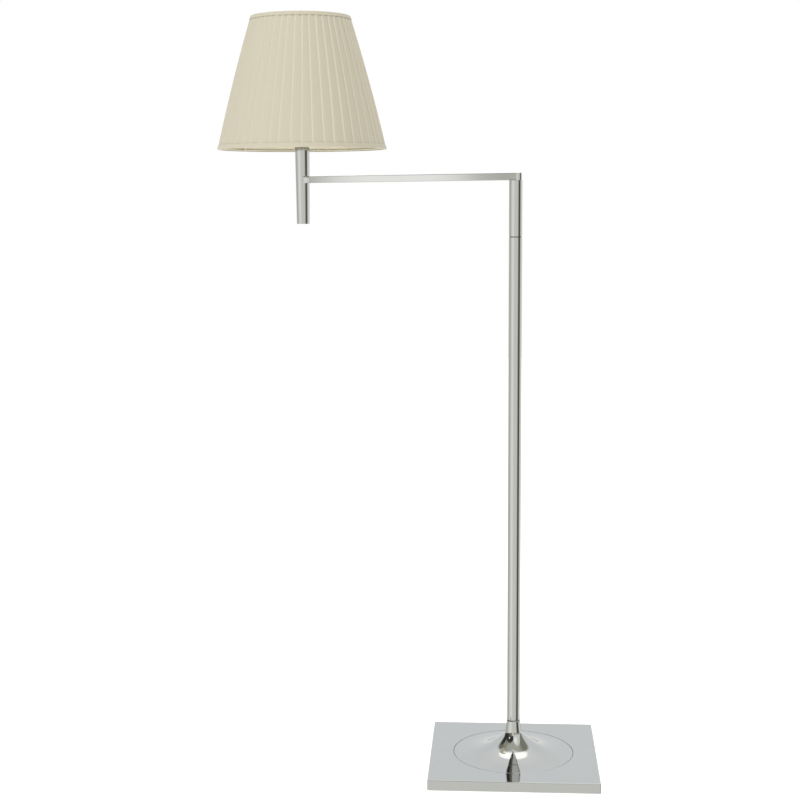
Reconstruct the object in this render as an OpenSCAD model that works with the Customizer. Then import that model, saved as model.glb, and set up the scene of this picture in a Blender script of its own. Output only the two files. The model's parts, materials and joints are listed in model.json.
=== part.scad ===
// Bridge floor lamp: square weighted base, round pole, swivelling arm, stem with lampholder and a pleated empire shade.
// Millimetres, +Z up, origin at the centre of the base's underside.

/* [Base] */
// Side of the square base
base_side = 300; // [280:5:340]
// Height of the base, pad included
base_h = 18; // [17:0.5:22]
// Radius along the top edges of the base cover
base_edge_r = 2; // [1:0.5:3]
// Radius of the round disc let into the base
disc_r = 108; // [90:1:115]
// Gap around the disc
disc_gap = 0.7; // [0.3:0.1:1.2]

/* [Pole] */
// Outside diameter of the pole and of the upper tube
pole_d = 23.5; // [22.5:0.5:28]
// Wall of the pole and of the upper tube
pole_wall = 1.5; // [1.2:0.1:1.8]
// Height of the joint between the hub's neck and the pole
neck_z = 77.5; // [72:0.5:90]
// Height of the swivel joint
swivel_z = 950; // [850:5:1000]

/* [Arm] */
// Side of the arm's square section
arm_sec = 12.5; // [12:0.5:14]
// Wall of the arm
arm_wall = 1.5; // [1:0.1:1.8]
// Distance from the pole's axis to the stem's axis
arm_len = 500; // [420:5:560]
// Height of the arm's underside
arm_z = 1048.5; // [1040:0.5:1080]
// Direction in which the arm points at rest, from +X towards +Y
arm_angle = 145; // [0:1:359]

/* [Stem] */
// Height of the stem's lower end
stem_z0 = 970; // [950:1:990]
// Height of the stem's upper end
stem_z1 = 1165; // [1155:1:1170]
// Diameter at the lower end
stem_d0 = 25; // [24:0.1:28]
// Diameter at the upper end
stem_d1 = 29.5; // [28.5:0.1:33]

/* [Shade] */
// Height of the shade's lower rim
shade_z0 = 1112.5; // [1105:0.5:1125]
// Height of the shade's upper rim
shade_z1 = 1363.5; // [1340:0.5:1380]
// Diameter of the lower rim
shade_d0 = 327; // [300:0.5:350]
// Diameter of the upper rim
shade_d1 = 191.6; // [180:0.2:220]
// How far the side bows outwards at half height
shade_bow = 2.4; // [0:0.2:4]
// Depth of the pleated fabric
pleat_t = 2.2; // [1.6:0.2:3]

/* [Hidden] */
$fn = 96;
pr = pole_d / 2;
pi_r = pr - pole_wall;
fit = 0.02;
pad_t = 1.5;
rim_z = 0.5;                       // height of the cover's lower rim, which hides the pad
plate_z = 13;
lead_r = 1.8;
lead_z = 7;
arm_top = arm_z + arm_sec;
lead_az = arm_z + 9.1;
hz = stem_z1;                      // height the lampholder is built up from
cr_z = hz + 24.75;                 // height of the carrier's arms
stem_k = (stem_d1 - stem_d0) / 2 / (stem_z1 - stem_z0);
joint_h = 1.6;                     // height of the swivel's gap
up_z = swivel_z + joint_h;

// ---- helpers ----
module tube(ro, ri, z0, z1) {
    translate([0, 0, z0]) difference() {
        cylinder(r = ro, h = z1 - z0);
        translate([0, 0, -1]) cylinder(r = ri, h = z1 - z0 + 2);
    }
}
module rsq(s, r) {
    square([s, s - 2 * r], center = true);
    square([s - 2 * r, s], center = true);
    for (x = [-1, 1], y = [-1, 1]) translate([x * (s / 2 - r), y * (s / 2 - r)]) circle(r = r);
}
module hex(af, h) { cylinder(r = af / 2 / cos(30), h = h, $fn = 6); }
module at_arm() { rotate([0, 0, arm_angle]) children(); }
module at_stem() { at_arm() translate([arm_len, 0, 0]) children(); }
// quarter of a round bend between the local +X and +Z directions
module bend(R, r) { rotate([90, 0, 0]) rotate_extrude(angle = 90) translate([R, 0]) circle(r = r, $fn = 32); }

// points of a smooth curve through the points of P
function cr(a, b, c, d, t) = 0.5 * (2 * b + (c - a) * t + (2 * a - 5 * b + 4 * c - d) * t * t + (3 * b - a - 3 * c + d) * t * t * t);
function curve(P, n) = [for (i = [0:len(P) - 2]) for (k = [0:n - 1]) cr(P[max(i - 1, 0)], P[i], P[i + 1], P[min(i + 2, len(P) - 1)], k / n), P[len(P) - 1]];
// the same curve moved by w to the right of its direction
function unit(v) = v / norm(v);
function side(C, w) = [for (i = [0:len(C) - 1]) let (t = unit(C[min(i + 1, len(C) - 1)] - C[max(i - 1, 0)])) C[i] + w * [t[1], -t[0]]];
function rev(C) = [for (i = [len(C) - 1:-1:0]) C[i]];

// ---- base ----
cover_pos = base_side / 2 - 25;
hub_screw_r = 62;
module base_pad() {
    color("dimgray") linear_extrude(pad_t) rsq(base_side - 6, 3);
}
module screw_up(head_z, top_z) {
    translate([0, 0, head_z]) difference() {
        cylinder(r = 3.8, h = 4);
        translate([0, 0, -1]) hex(2.5, 3);
    }
    translate([0, 0, head_z + 4]) cylinder(r = 2, h = top_z - head_z - 4);
}
module ballast_plate() {
    color("darkslategray") difference() {
        translate([0, 0, pad_t]) linear_extrude(plate_z - pad_t) rsq(base_side - 5.4, 3);
        translate([0, 0, 0]) cylinder(r = 30, h = 20);
        for (x = [-1, 1], y = [-1, 1]) translate([x * cover_pos, y * cover_pos, 0]) {
            cylinder(r = 2.3, h = 20);
            cylinder(r = 4.3, h = 6);
        }
        for (a = [30, 150, 270]) rotate([0, 0, a]) translate([hub_screw_r, 0, 0]) {
            cylinder(r = 2.3, h = 20);
            cylinder(r = 4.3, h = 6);
        }
        // channel for the lead, pocket of the terminal block, notch of the grommet
        translate([-4.5, 0, 0]) cube([9, base_side / 2, 10.5]);
        translate([-12, 98, 0]) cube([24, 26, 10.5]);
        translate([-8, base_side / 2 - 12, 0]) cube([16, 12, 20]);
    }
}
module base_cover() {
    s = base_side; r = base_edge_r;
    color("lightgray") difference() {
        translate([0, 0, rim_z]) linear_extrude(base_h - rim_z) rsq(s, 2);
        difference() {
            translate([0, 0, -1]) linear_extrude(base_h - 2 + 1) rsq(s - 4, 1);
            for (x = [-1, 1], y = [-1, 1]) translate([x * cover_pos, y * cover_pos, plate_z]) cylinder(r = 5, h = 10);
        }
        cylinder(r = disc_r + disc_gap, h = 30);
        for (a = [0:90:270]) rotate([0, 0, a]) translate([-s / 2 - 1, s / 2 - r, base_h - r]) difference() {
            cube([s + 2, r + 1, r + 1]);
            translate([-1, 0, 0]) rotate([0, 90, 0]) cylinder(r = r, h = s + 4);
        }
        for (x = [-1, 1], y = [-1, 1]) translate([x * cover_pos, y * cover_pos, plate_z - 1]) cylinder(r = 2 + fit, h = 3.8);
        translate([0, s / 2 + 1, 7.6]) rotate([90, 0, 0]) cylinder(r = 4.6, h = 4);
    }
}
module cover_screws() {
    color("silver") for (x = [-1, 1], y = [-1, 1]) translate([x * cover_pos, y * cover_pos, 0]) screw_up(2, 15.4);
}
module hub_screws() {
    color("silver") for (a = [30, 150, 270]) rotate([0, 0, a]) translate([hub_screw_r, 0, 0]) screw_up(2, 16.4);
}
// steep neck that spreads into a cone and runs out into a shallow dish, turned in one piece: radius and height above the base
HUB = [[107.6, 0], [99, 0.25], [90, 0.75], [82, 1.6], [75, 2.7], [68, 4.2], [62, 5.85], [57, 7.5], [52, 9.55], [48, 11.4], [44, 13.6],
    [40.5, 15.8], [37, 18.2], [31, 22.6], [26, 26.4], [21.5, 30], [18.6, 32.5], [17, 34.1], [16, 35.4], [15.3, 37], [14.7, 39.4], [14.2, 42.4],
    [13.7, 46], [13.2, 50.4], [12.75, 54.9], [12.3, 59.5]];
module hub_disc() {
    k = (neck_z - base_h) / 59.5; d = pr - 11.75;
    P = [for (p = HUB) [p[0] + (p[0] > 20 ? (disc_r - 108) * (p[0] - 20) / 88 : 0) + d * max(0, 1 - (p[0] - 12.3) / 60), base_h + p[1] * k]];
    C = curve(P, 3);
    I = [for (p = side(C, -3)) if (p[1] < neck_z - 8 && p[0] < 56) p];
    color("lightgray") difference() {
        rotate_extrude($fn = 180) polygon(concat(
            [[disc_r, plate_z], [disc_r, base_h - 0.4]], C,
            [[5.2, neck_z], [5.2, neck_z - 8], [I[len(I) - 1][0], neck_z - 8]], rev(I), [[I[0][0], plate_z]]));
        for (a = [30, 150, 270]) rotate([0, 0, a]) translate([hub_screw_r, 0, plate_z - 1]) cylinder(r = 2 + fit, h = 5);
    }
}
module cord_grommet() {
    color("black") translate([0, base_side / 2, 7.6]) rotate([90, 0, 0]) difference() {
        union() {
            translate([0, 0, -1.5]) cylinder(r = 6, h = 1.5);
            cylinder(r = 4.6, h = 2);
            translate([0, 0, 2]) cylinder(r = 6, h = 1.5);
        }
        translate([0, 0, -3]) cylinder(r = 3.1, h = 8);
    }
}
module terminal_block() {
    color("ivory") difference() {
        translate([-10, 103, 2.9]) cube([20, 17, 7.6]);
        for (x = [-6.5, 0, 6.5]) translate([x, 90, lead_z]) rotate([-90, 0, 0]) cylinder(r = lead_r, h = 40);
        for (x = [-6.5, 0, 6.5], y = [112, 117]) translate([x, y, 0]) cylinder(r = 1.5, h = 6);
    }
}
module neck_nut() {
    color("goldenrod") translate([0, 0, neck_z - 14]) difference() { hex(14, 6); translate([0, 0, -1]) cylinder(r = 5 + fit, h = 8); }
}
module pole_pipe() { color("goldenrod") tube(5, 3.6, neck_z - 17, neck_z + 28); }
module neck_ring() { color("dimgray") tube(pr - 1.3, 5.2, neck_z, neck_z + 2); }
module pole_foot_plug() { color("silver") tube(pi_r - fit, 5 + fit, neck_z + 2, neck_z + 28); }
module pole_tube() { color("lightgray") tube(pr, pi_r, neck_z + 2, swivel_z); }

// ---- swivel ----
sp_r = 7;
module swivel_bush() {
    color("goldenrod") difference() {
        translate([0, 0, swivel_z - 35]) cylinder(r = pi_r - fit, h = 35);
        translate([0, 0, swivel_z - 40]) cylinder(r = sp_r + 0.05, h = 50);
        // ring groove in which the stop pin runs, with one lug left standing
        difference() {
            translate([0, 0, swivel_z - 36]) cylinder(r = pi_r - 1.2, h = 6);
            rotate([0, 0, arm_angle + 180]) translate([sp_r + 0.05, -1.2, swivel_z - 36]) cube([6, 2.4, 8]);
        }
    }
}
module swivel_washer() { color("dimgray") tube(pr - 1.3, sp_r + 0.35, swivel_z, swivel_z + 1.3); }
module swivel_spindle() {
    color("goldenrod") difference() {
        tube(sp_r, 3.8, swivel_z - 44, swivel_z + 24);
        at_arm() translate([4.6, 0, swivel_z - 32.5]) rotate([0, 90, 0]) cylinder(r = 1.5 + 0.01, h = 6);
    }
}
module stop_pin() { color("silver") at_arm() translate([4.8, 0, swivel_z - 32.5]) rotate([0, 90, 0]) cylinder(r = 1.5, h = pi_r - 1.8 - 4.8); }
module spindle_washer() { color("silver") tube(pi_r - 0.8, sp_r + fit, swivel_z - 37.2, swivel_z - 35.4); }
module spindle_nut() {
    color("goldenrod") difference() {
        tube(pi_r - 1, sp_r + fit, swivel_z - 43, swivel_z - 37.2);
        for (a = [0, 90]) rotate([0, 0, a]) translate([-20, -1.25, swivel_z - 44]) cube([40, 2.5, 2.5]);
    }
}
module upper_foot_plug() { color("silver") tube(pi_r - fit, sp_r + fit, up_z, up_z + 23); }
module upper_tube() { color("lightgray") tube(pr, pi_r, up_z, arm_z); }
module upper_top_plug() { color("lightgray") tube(pi_r - fit, 4 + fit, arm_z - 24, arm_z); }

// ---- arm ----
module arm_nipple() { color("goldenrod") tube(4, 2.6, arm_z - 24, arm_z + arm_wall + 2.5); }
module arm_end_block() {
    w = arm_sec - 2 * arm_wall - 0.1;
    color("silver") difference() {
        at_arm() translate([-6, -w / 2, arm_z + arm_wall]) cube([18, w, 2.5]);
        translate([0, 0, arm_z]) cylinder(r = 4 + fit, h = 10);
    }
}
sad_x = arm_len - 21.3;
module arm_bar() {
    s = arm_sec; r = 0.8; w = arm_wall;
    color("lightgray") at_arm() difference() {
        intersection() {
            translate([-pr - 1, 0, arm_z + s / 2]) rotate([90, 0, 90]) linear_extrude(sad_x + pr + 1) rsq(s, r);
            translate([0, 0, arm_z - 1]) linear_extrude(s + 2) {
                translate([s / 2 - pr, -s / 2]) square([sad_x + pr - s / 2, s]);
                translate([s / 2 - pr, 0]) circle(r = s / 2);
            }
        }
        translate([0, 0, arm_z + w]) linear_extrude(s - 2 * w) {
            translate([s / 2 - pr, w - s / 2]) square([sad_x + pr + 1, s - 2 * w]);
            translate([s / 2 - pr, 0]) circle(r = s / 2 - w);
        }
        translate([0, 0, arm_z - 1]) cylinder(r = 4 + 0.1, h = 4);
    }
}
// flared, coped foot between the arm and the stem
module arm_saddle() {
    s = arm_sec / 2;
    n = 9;
    A = [for (i = [0:n]) [sad_x + 15.5 * i / n, s + 5.4 * pow(i / n, 2)]];
    B = [for (i = [0:n]) [sad_x + 12.5 * i / n, s + 1.7 * pow(i / n, 2)]];
    pa = concat(A, [[arm_len, s + 5.4]]);
    pb = concat(B, [[arm_len, s + 1.7]]);
    color("lightgray") at_arm() difference() {
        intersection() {
            translate([0, 0, arm_z - 5]) linear_extrude(arm_sec + 10) polygon(concat(pa, [for (p = rev(pa)) [p[0], -p[1]]]));
            translate([0, 20, arm_z + s]) rotate([90, 0, 0]) linear_extrude(40) polygon(concat(pb, [for (p = rev(pb)) [p[0], -p[1]]]));
        }
        translate([arm_len, 0, stem_z0]) cylinder(r1 = stem_d0 / 2, r2 = stem_d1 / 2, h = stem_z1 - stem_z0);
        translate([sad_x - 1, 0, lead_az]) rotate([0, 90, 0]) cylinder(r = 2.6, h = 30);
    }
}

// ---- stem ----
function stem_r(z) = stem_d0 / 2 + (z - stem_z0) * stem_k;
module cone_plug(z0, z1, ri) {
    rotate_extrude() polygon([[ri, z0], [stem_r(z0) - 1.5 - fit, z0], [stem_r(z1) - 1.5 - fit, z1], [ri, z1]]);
}
module stem_tube() {
    color("lightgray") at_stem() difference() {
        rotate_extrude() polygon([[stem_d0 / 2 - 1.5, stem_z0], [stem_d0 / 2, stem_z0], [stem_d1 / 2, stem_z1], [stem_d1 / 2 - 1.5, stem_z1]]);
        translate([-25, 0, lead_az]) rotate([0, 90, 0]) cylinder(r = 2.6, h = 20);
    }
}
module stem_end_plug() { color("lightgray") at_stem() rotate_extrude() polygon([[0, stem_z0 + 0.8], [stem_r(stem_z0 + 0.8) - 1.5 - fit, stem_z0 + 0.8], [stem_r(stem_z0 + 9) - 1.5 - fit, stem_z0 + 9], [0, stem_z0 + 9]]); }
module stem_top_plug() { color("silver") at_stem() cone_plug(stem_z1 - 20, stem_z1, 5 + fit); }

// ---- lampholder and bulb ----
module holder_nipple() { color("goldenrod") at_stem() tube(5, 3.6, hz - 20, hz + 11); }
module holder_nut() { color("goldenrod") at_stem() translate([0, 0, hz + 2.5]) difference() { hex(14, 4.5); translate([0, 0, -1]) cylinder(r = 5 + fit, h = 8); } }
module holder_cap() {
    color("white") at_stem() rotate_extrude() polygon([[5.1, hz], [13, hz], [17, hz + 3], [19.5, hz + 9], [19.5, hz + 21],
        [17.5, hz + 21], [17.5, hz + 10], [15.5, hz + 5], [12, hz + 2.5], [5.1, hz + 2.5]]);
}
module holder_body() {
    color("white") at_stem() rotate_extrude() polygon(concat([[17.5, hz + 21], [23.5, hz + 21], [23.5, hz + 23.5], [19.5, hz + 23.5]],
        [for (i = [0:5]) each [[19.5, hz + 35 + i * 3], [19, hz + 36.5 + i * 3]]],
        [[19.5, hz + 54], [19.5, hz + 59], [17.5, hz + 59]]));
}
module holder_core() {
    color("ivory") at_stem() difference() {
        translate([0, 0, hz + 23]) cylinder(r = 17.5 - fit, h = 15);
        for (x = [-9, 9]) translate([x, 0, hz + 22]) cylinder(r = 1.5 + fit, h = 8);
    }
}
module holder_terminals() {
    color("goldenrod") at_stem() for (x = [-9, 9]) translate([x, 0, 0]) {
        translate([0, 0, hz + 20]) cylinder(r = 2.7, h = 3);
        translate([0, 0, hz + 23]) cylinder(r = 1.5, h = 6.5);
    }
}
module screw_shell() { color("goldenrod") at_stem() tube(13.9, 13.1, hz + 38, hz + 57); }
module centre_contact() { color("goldenrod") at_stem() translate([0, 0, hz + 38]) cylinder(r = 3.2, h = 1.4); }
module bulb_base() {
    b = hz + 39.4;
    color("silver") at_stem() rotate_extrude() polygon(concat([[0, b], [4.5, b], [4.5, b + 1.5], [11.6, b + 5]],
        [for (i = [0:4]) each [[12.2, b + 6 + i * 3.6], [13, b + 7.6 + i * 3.6]]], [[13, b + 25], [11, b + 25], [11, b + 7], [0, b + 5]]));
}
GLASS = [[12.6, 0], [13.4, 6], [15.8, 14], [20.2, 24], [25.2, 34], [28.6, 43], [30, 52], [29.2, 61], [26.2, 69.5], [21, 76.6], [14, 81.6], [7, 84], [0, 84.6]];
module bulb_glass() {
    b = hz + 64.4;
    C = [for (p = curve(GLASS, 3)) [p[0], p[1] + b]];
    I = [for (p = side(C, -1)) [max(p[0], 0), p[1]]];
    color("whitesmoke") at_stem() rotate_extrude() polygon(concat(C, [[0, C[len(C) - 1][1] - 1]], [for (i = [len(I) - 2:-1:1]) I[i]], [[I[0][0], b]]));
}

// ---- shade ----
sh = shade_z1 - shade_z0;
function sr(z) = let (u = (z - shade_z0) / sh) shade_d0 / 2 + (shade_d1 - shade_d0) / 2 * u + shade_bow * 4 * u * (1 - u);
// a shell that follows the shade's side between two heights and two depths below the outside
module skin(z0, z1, a, b, n = 12) {
    Z = [for (i = [0:n]) z0 + (z1 - z0) * i / n];
    rotate_extrude($fn = 180) polygon(concat([for (z = Z) [sr(z) - a, z]], [for (z = rev(Z)) [sr(z) - b, z]]));
}
ring_in = pleat_t + 3.3;
function line_r(z) = let (u = (z - shade_z0) / sh) shade_d0 / 2 + (shade_d1 - shade_d0) / 2 * u;
rib_a = atan((shade_d0 - shade_d1) / 2 / sh);
module shade_bottom_ring() { color("white") at_stem() translate([0, 0, shade_z0 + 2.5]) rotate_extrude($fn = 180) translate([line_r(shade_z0 + 2.5) - ring_in, 0]) circle(r = 1.5, $fn = 32); }
module shade_top_ring() { color("white") at_stem() translate([0, 0, shade_z1 - 2.5]) rotate_extrude($fn = 180) translate([line_r(shade_z1 - 2.5) - ring_in, 0]) circle(r = 1.5, $fn = 32); }
function rib_r(z) = line_r(z) - ring_in - 1.5 / cos(rib_a) - 1.2 / cos(rib_a) - fit;
module shade_ribs() {
    z0 = shade_z0 + 2; z1 = shade_z1 - 2;
    color("white") at_stem() for (a = [0:60:300]) rotate([0, 0, a]) translate([rib_r(z0), 0, z0]) rotate([0, -rib_a, 0]) cylinder(r = 1.2, h = (z1 - z0) / cos(rib_a));
}
module carrier_ring() { color("white") at_stem() tube(25, 19.6, cr_z - 1.25, cr_z + 1.25); }
module carrier_arms() {
    L = rib_r(cr_z) - 1.2 / cos(rib_a) - 25.02;
    color("white") at_stem() for (a = [60, 180, 300]) rotate([0, 0, a]) translate([25.01, 0, cr_z]) rotate([0, 90, 0]) cylinder(r = 1.2, h = L);
}
module carrier_clamp() { color("white") at_stem() tube(24.5, 19.6, cr_z + 1.25, cr_z + 9); }
module shade_lining() { color("ivory") at_stem() skin(shade_z0 + 1.1, shade_z1 - 1.1, pleat_t + 1.2, pleat_t + 0.6); }
module shade_fabric() { color("wheat") at_stem() skin(shade_z0 + 1.1, shade_z1 - 1.1, 0.5, pleat_t + 0.5); }
module shade_bottom_trim() {
    z0 = shade_z0; z1 = shade_z0 + 8.5;
    color("wheat") at_stem() rotate_extrude($fn = 180) polygon([[sr(z0), z0], [sr(z1), z1], [sr(z1) - 0.48, z1], [sr(z0 + 1) - 0.48, z0 + 1], [sr(z0) - 7, z0 + 1], [sr(z0) - 7, z0]]);
}
module shade_top_trim() {
    z0 = shade_z1 - 7; z1 = shade_z1;
    color("wheat") at_stem() rotate_extrude($fn = 180) polygon([[sr(z1), z1], [sr(z1) - 7, z1], [sr(z1) - 7, z1 - 1], [sr(z1 - 1) - 0.48, z1 - 1], [sr(z0) - 0.48, z0], [sr(z0), z0]]);
}

// ---- leads, held inside all the way ----
module lead_in_pole() {
    R = 25;
    color("gainsboro") {
        translate([0, R, lead_z]) rotate([-90, 0, 0]) cylinder(r = lead_r, h = 108 - R, $fn = 32);
        translate([0, R, lead_z + R]) rotate([0, 0, 90]) rotate([0, 180, 0]) bend(R, lead_r);
        translate([0, 0, lead_z + R]) cylinder(r = lead_r, h = swivel_z + 0.5 - lead_z - R, $fn = 32);
    }
}
module lead_in_arm() {
    R = 7; S = 8;
    color("gainsboro") at_arm() {
        translate([0, 0, swivel_z + 0.9]) cylinder(r = lead_r, h = lead_az - R - swivel_z - 0.9, $fn = 32);
        translate([R, 0, lead_az - R]) rotate([0, -90, 0]) bend(R, lead_r);
        translate([R, 0, lead_az]) rotate([0, 90, 0]) cylinder(r = lead_r, h = arm_len - R - S, $fn = 32);
        translate([arm_len - S, 0, lead_az + S]) rotate([0, 90, 0]) bend(S, lead_r);
        translate([arm_len, 0, lead_az + S]) cylinder(r = lead_r, h = hz + 23 - lead_az - S, $fn = 32);
    }
}

base_pad();
ballast_plate();
base_cover();
cover_screws();
hub_disc();
hub_screws();
cord_grommet();
terminal_block();
neck_nut();
pole_pipe();
neck_ring();
pole_foot_plug();
pole_tube();
swivel_bush();
swivel_washer();
lead_in_pole();
swivel_spindle();
stop_pin();
spindle_washer();
spindle_nut();
upper_foot_plug();
upper_tube();
upper_top_plug();
arm_nipple();
arm_end_block();
arm_bar();
arm_saddle();
stem_tube();
stem_end_plug();
stem_top_plug();
holder_nipple();
holder_nut();
holder_cap();
holder_body();
holder_core();
holder_terminals();
screw_shell();
centre_contact();
bulb_base();
bulb_glass();
carrier_ring();
carrier_arms();
carrier_clamp();
shade_bottom_ring();
shade_top_ring();
shade_ribs();
shade_lining();
shade_fabric();
shade_bottom_trim();
shade_top_trim();
lead_in_arm();
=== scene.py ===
"""Looks of the bridge floor lamp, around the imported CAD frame. Metres, +Z up."""

import json
import math
import random

import bpy
import numpy as np
from mathutils import Matrix, Vector


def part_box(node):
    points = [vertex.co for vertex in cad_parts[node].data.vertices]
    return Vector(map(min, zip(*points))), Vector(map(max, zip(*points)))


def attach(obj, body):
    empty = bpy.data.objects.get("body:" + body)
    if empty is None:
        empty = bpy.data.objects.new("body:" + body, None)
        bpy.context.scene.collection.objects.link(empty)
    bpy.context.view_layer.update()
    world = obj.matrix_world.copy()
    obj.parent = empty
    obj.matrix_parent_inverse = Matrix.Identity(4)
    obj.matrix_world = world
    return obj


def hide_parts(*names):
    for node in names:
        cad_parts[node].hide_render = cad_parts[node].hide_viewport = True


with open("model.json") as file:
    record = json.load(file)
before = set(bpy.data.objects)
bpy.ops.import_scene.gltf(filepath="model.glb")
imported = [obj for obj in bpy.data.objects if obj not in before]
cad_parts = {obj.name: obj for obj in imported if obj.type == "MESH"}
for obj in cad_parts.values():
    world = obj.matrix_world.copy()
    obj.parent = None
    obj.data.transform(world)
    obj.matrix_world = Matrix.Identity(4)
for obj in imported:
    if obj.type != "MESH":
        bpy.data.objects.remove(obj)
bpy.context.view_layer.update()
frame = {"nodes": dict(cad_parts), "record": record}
NODES = frame["nodes"]
MM = 0.001
rnd = random.Random(7)

lo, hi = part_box("stem_tube")
STEM = Vector(((lo.x + hi.x) / 2, (lo.y + hi.y) / 2, 0))
ARM_A = math.atan2(STEM.y, STEM.x)
ARM_L = math.hypot(STEM.x, STEM.y)


# ---------------------------------------------------------------- node helpers
def add(nt, kind, ins=None, **props):
    n = nt.nodes.new(kind)
    for k, v in props.items():
        setattr(n, k, v)
    for k, v in (ins or {}).items():
        if isinstance(v, bpy.types.NodeSocket):
            nt.links.new(v, n.inputs[k])
        else:
            n.inputs[k].default_value = v
    return n


def math_node(nt, op, *args, clamp=False):
    n = nt.nodes.new("ShaderNodeMath")
    n.operation = op
    n.use_clamp = clamp
    for i, v in enumerate(args):
        if isinstance(v, bpy.types.NodeSocket):
            nt.links.new(v, n.inputs[i])
        else:
            n.inputs[i].default_value = v
    return n.outputs[0]


def map_range(nt, value, a, b, c, d, smooth=False):
    n = add(nt, "ShaderNodeMapRange", {"Value": value, "From Min": a, "From Max": b, "To Min": c, "To Max": d})
    n.interpolation_type = "SMOOTHSTEP" if smooth else "LINEAR"
    return n.outputs["Result"]


def mix_color(nt, fac, a, b, blend="MIX"):
    n = nt.nodes.new("ShaderNodeMix")
    n.data_type = "RGBA"
    n.blend_type = blend
    n.clamp_factor = True
    for sock, v in ((n.inputs[0], fac), (n.inputs[6], a), (n.inputs[7], b)):
        if isinstance(v, bpy.types.NodeSocket):
            nt.links.new(v, sock)
        else:
            sock.default_value = v
    return n.outputs[2]


def rgb(c, k=1.0):
    return (c[0] * k, c[1] * k, c[2] * k, 1.0)


def new_material(name):
    m = bpy.data.materials.new(name)
    m.use_nodes = True
    nt = m.node_tree
    bsdf = next(n for n in nt.nodes if n.type == "BSDF_PRINCIPLED")
    return m, nt, bsdf


def noise(nt, vec, scale, detail=3.0, rough=0.5, distortion=0.0):
    n = add(nt, "ShaderNodeTexNoise", {"Vector": vec, "Scale": scale, "Detail": detail, "Roughness": rough, "Distortion": distortion})
    return n.outputs[0]


def finish_mat(name, base, rough, metal=0.0, tint=0.05, d_rough=0.05, grain=600.0, broad=40.0, bump=0.2, depth=0.00003,
               stretch=(1, 1, 1), dirt=None, **sockets):
    """A turned, cast, moulded or painted surface: broad tone changes, fine grain in the height, uneven gloss."""
    m, nt, bsdf = new_material(name)
    co = add(nt, "ShaderNodeTexCoord").outputs["Object"]
    if stretch != (1, 1, 1):
        co = add(nt, "ShaderNodeMapping", {"Vector": co, "Scale": stretch}).outputs[0]
    wide = noise(nt, co, broad, 3.0, 0.55)
    fine = noise(nt, co, grain, 4.0, 0.6)
    col = mix_color(nt, map_range(nt, wide, 0.3, 0.7, 0, 1), rgb(base, 1 - tint), rgb(base, 1 + tint))
    if dirt:
        spots = map_range(nt, noise(nt, co, broad * 5, 5.0, 0.65), 0.56, 0.72, 0, 1, True)
        col = mix_color(nt, math_node(nt, "MULTIPLY", spots, dirt[1]), col, rgb(dirt[0]))
    nt.links.new(col, bsdf.inputs["Base Color"])
    r = math_node(nt, "ADD", math_node(nt, "MULTIPLY", wide, 0.6), math_node(nt, "MULTIPLY", fine, 0.4))
    nt.links.new(map_range(nt, r, 0.32, 0.68, rough - d_rough, rough + d_rough), bsdf.inputs["Roughness"])
    b = add(nt, "ShaderNodeBump", {"Height": fine, "Strength": bump, "Distance": depth})
    nt.links.new(b.outputs[0], bsdf.inputs["Normal"])
    bsdf.inputs["Metallic"].default_value = metal
    for k, v in sockets.items():
        bsdf.inputs[k.replace("_", " ")].default_value = v
    return m


# ---------------------------------------------------------------- materials
def chrome(name="chrome"):
    m, nt, bsdf = new_material(name)
    co = add(nt, "ShaderNodeTexCoord").outputs["Object"]
    film = noise(nt, co, 14.0, 4.0, 0.6, 0.4)
    haze = noise(nt, co, 120.0, 3.0, 0.6)
    hair = noise(nt, add(nt, "ShaderNodeMapping", {"Vector": co, "Scale": (1800.0, 1800.0, 40.0)}).outputs[0], 1.0, 2.0, 0.5)
    col = mix_color(nt, map_range(nt, film, 0.35, 0.7, 0, 1), rgb((0.555, 0.562, 0.556)), rgb((0.575, 0.578, 0.565)))
    nt.links.new(col, bsdf.inputs["Base Color"])
    r = math_node(nt, "ADD", math_node(nt, "MULTIPLY", film, 0.7), math_node(nt, "MULTIPLY", haze, 0.3))
    nt.links.new(map_range(nt, r, 0.35, 0.68, 0.035, 0.075), bsdf.inputs["Roughness"])
    b = add(nt, "ShaderNodeBump", {"Height": hair, "Strength": 0.02, "Distance": 0.00001})
    nt.links.new(b.outputs[0], bsdf.inputs["Normal"])
    bsdf.inputs["Metallic"].default_value = 1.0
    return m


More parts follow.
